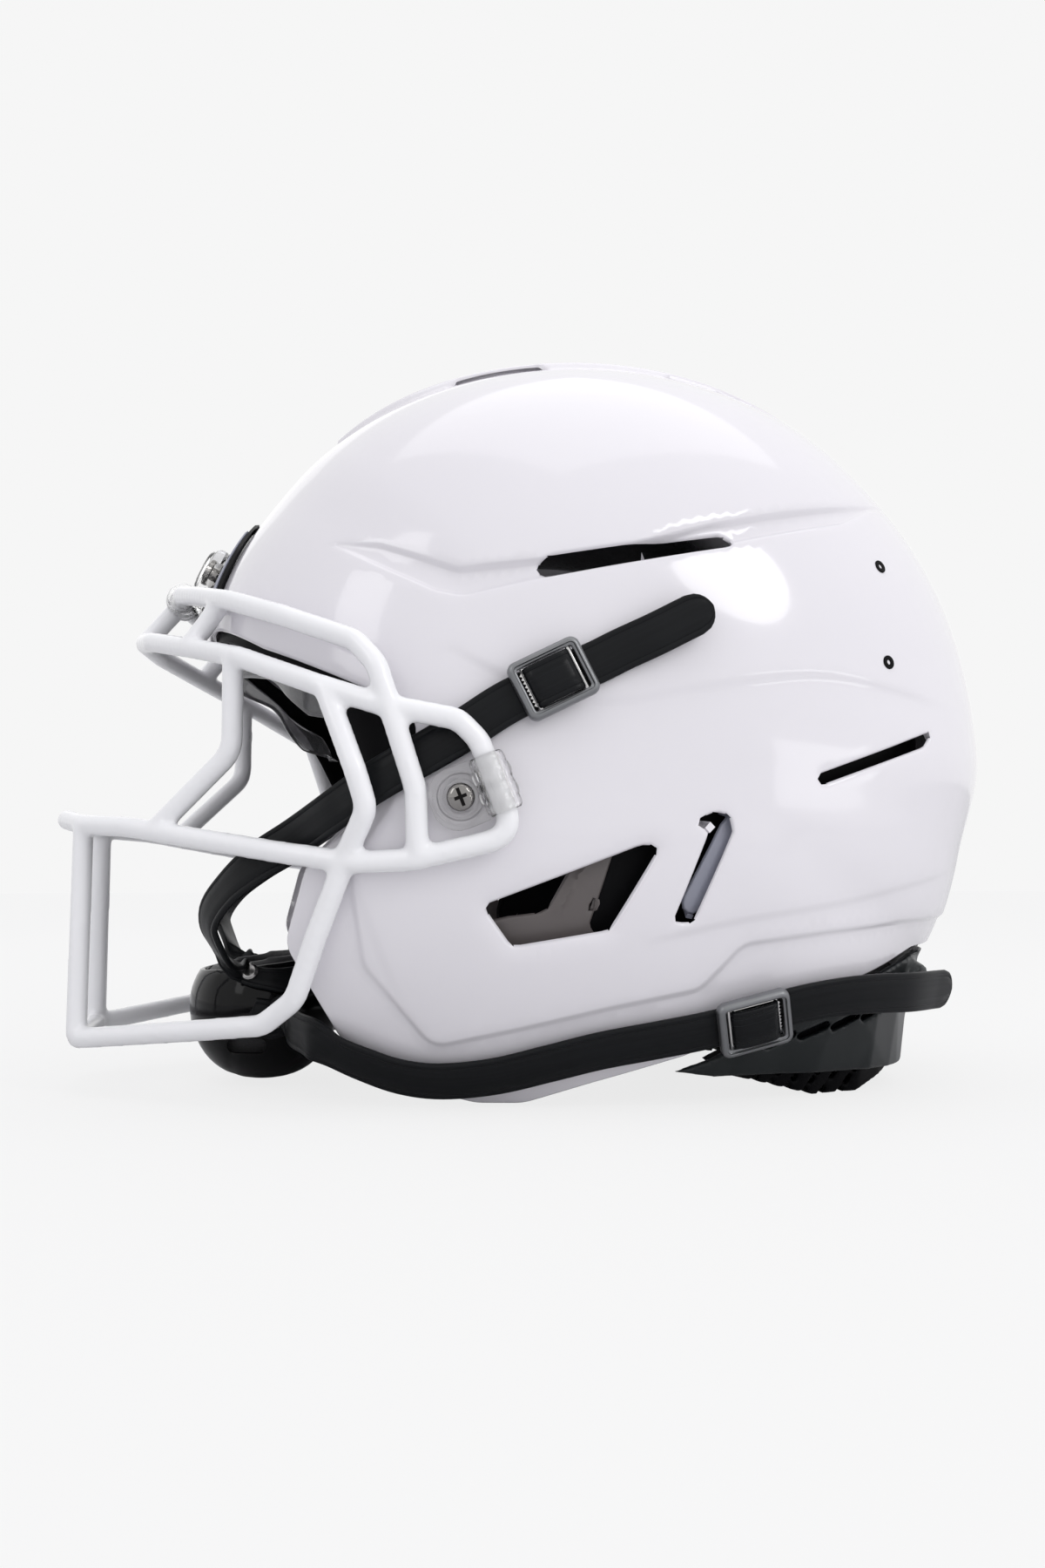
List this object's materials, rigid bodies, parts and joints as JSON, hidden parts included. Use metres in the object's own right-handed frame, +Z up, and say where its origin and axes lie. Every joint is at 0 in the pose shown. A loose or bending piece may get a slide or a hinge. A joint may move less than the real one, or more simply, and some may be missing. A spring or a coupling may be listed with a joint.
{
  "type": "football helmet",
  "caption": "Football helmet with a vented moulded shell, wire face mask held by screwed clips, padded liner and a buckled chin strap with a cup.",
  "frame": {"origin": "on the floor plane under the middle of the helmet's bounding box", "axes": "+Z up, the helmet faces -Y, +X is the wearer's left, X = 0 is the mirror plane"},
  "size_m": [0.263, 0.3779, 0.2962],
  "materials": {
    "shell_plastic": "smooth gloss",
    "black_gloss": "gloss",
    "inlay": "satin",
    "black_plastic": "fine matt texture",
    "rubber": "matt",
    "pad_cover": "soft matt cover",
    "cup_fabric": "brushed cloth",
    "mask_coat": "smooth dipped coating",
    "clear_clip": "clear moulded",
    "screw_steel": "plated",
    "snap_metal": "plated",
    "buckle_metal": "dark satin plate",
    "bail_wire": "plated wire",
    "webbing": "satin woven webbing"
  },
  "bodies": {
    "helmet": {"shell": "shell_plastic", "front_bumper": "black_gloss", "bumper_inlay": "inlay", "air_ports": "rubber", "rear_guard": "black_plastic", "rear_pad": "rubber", "brow_pad": "pad_cover", "crown_pad": "pad_cover", "back_pad": "pad_cover", "side_pad_left": "pad_cover", "side_pad_right": "pad_cover", "jaw_pad_left": "pad_cover", "jaw_pad_right": "pad_cover", "mask_loop": "mask_coat", "mask_top_bar": "mask_coat", "mask_chin_bar": "mask_coat", "mask_centre_post": "mask_coat", "mask_brace_left": "mask_coat", "mask_brace_right": "mask_coat", "mask_eye_post_left": "mask_coat", "mask_eye_post_right": "mask_coat", "mask_side_post_left": "mask_coat", "mask_side_post_right": "mask_coat", "mask_front_post_left": "mask_coat", "mask_front_post_right": "mask_coat", "front_clip": "clear_clip", "side_clip_left": "clear_clip", "side_clip_right": "clear_clip", "clip_nuts": "screw_steel", "snap_studs": "snap_metal", "upper_strap_left": "webbing", "upper_strap_right": "webbing", "lower_strap_left": "webbing", "lower_strap_right": "webbing", "chin_cup": "black_gloss", "chin_pad": "cup_fabric", "cup_rivets": "snap_metal"},
    "front_screw_body": {"front_screw": "screw_steel"},
    "side_screw_left_body": {"side_screw_left": "screw_steel"},
    "side_screw_right_body": {"side_screw_right": "screw_steel"},
    "upper_left_tab_body": {"upper_tab_left": "webbing", "upper_buckle_left": "buckle_metal", "upper_socket_left": "snap_metal"},
    "upper_left_bail_body": {"upper_bail_left": "bail_wire", "upper_loop_left": "webbing"},
    "upper_right_tab_body": {"upper_tab_right": "webbing", "upper_buckle_right": "buckle_metal", "upper_socket_right": "snap_metal"},
    "upper_right_bail_body": {"upper_bail_right": "bail_wire", "upper_loop_right": "webbing"},
    "lower_left_tab_body": {"lower_tab_left": "webbing", "lower_buckle_left": "buckle_metal", "lower_socket_left": "snap_metal"},
    "lower_left_bail_body": {"lower_bail_left": "bail_wire", "lower_loop_left": "webbing"},
    "lower_right_tab_body": {"lower_tab_right": "webbing", "lower_buckle_right": "buckle_metal", "lower_socket_right": "snap_metal"},
    "lower_right_bail_body": {"lower_bail_right": "bail_wire", "lower_loop_right": "webbing"}
  },
  "joints": [
    {"name": "front_screw_turn", "type": "hinge", "parent": "helmet", "child": "front_screw_body", "pos_m": [0, -0.12414, 0.20299], "axis": [0, -0.897, 0.442], "continuous": true},
    {"name": "side_screw_left_turn", "type": "hinge", "parent": "helmet", "child": "side_screw_left_body", "pos_m": [0.11565, -0.041, 0.109], "axis": [0.9903, -0.138, -0.0151], "continuous": true},
    {"name": "side_screw_right_turn", "type": "hinge", "parent": "helmet", "child": "side_screw_right_body", "pos_m": [-0.11565, -0.041, 0.109], "axis": [-0.9903, -0.138, -0.0151], "continuous": true},
    {"name": "upper_left_tab_lift", "type": "hinge", "parent": "helmet", "child": "upper_left_tab_body", "pos_m": [0.12047, -0.02653, 0.14112], "axis": [0.0858, 0.4393, -0.8942], "range_deg": [0, 45]},
    {"name": "upper_left_bail_lift", "type": "hinge", "parent": "upper_left_tab_body", "child": "upper_left_bail_body", "pos_m": [0.12354, -0.00215, 0.15337], "axis": [-0.0781, -0.4408, 0.8942], "range_deg": [0, 25]},
    {"name": "upper_right_tab_lift", "type": "hinge", "parent": "helmet", "child": "upper_right_tab_body", "pos_m": [-0.12047, -0.02653, 0.14112], "axis": [0.0858, -0.4393, 0.8942], "range_deg": [0, 45]},
    {"name": "upper_right_bail_lift", "type": "hinge", "parent": "upper_right_tab_body", "child": "upper_right_bail_body", "pos_m": [-0.12354, -0.00215, 0.15337], "axis": [-0.0781, 0.4408, -0.8942], "range_deg": [0, 25]},
    {"name": "lower_left_tab_lift", "type": "hinge", "parent": "helmet", "child": "lower_left_tab_body", "pos_m": [0.10694, 0.04723, 0.0274], "axis": [-0.4015, 0.2151, -0.8902], "range_deg": [0, 45]},
    {"name": "lower_left_bail_lift", "type": "hinge", "parent": "lower_left_tab_body", "child": "lower_left_bail_body", "pos_m": [0.10847, 0.05555, 0.02871], "axis": [-0.4048, 0.2157, -0.8886], "range_deg": [0, 25]},
    {"name": "lower_right_tab_lift", "type": "hinge", "parent": "helmet", "child": "lower_right_tab_body", "pos_m": [-0.10694, 0.04723, 0.0274], "axis": [-0.4015, -0.2151, 0.8902], "range_deg": [0, 45]},
    {"name": "lower_right_bail_lift", "type": "hinge", "parent": "lower_right_tab_body", "child": "lower_right_bail_body", "pos_m": [-0.10847, 0.05555, 0.02871], "axis": [-0.4048, -0.2157, 0.8886], "range_deg": [0, 25]}
  ]
}
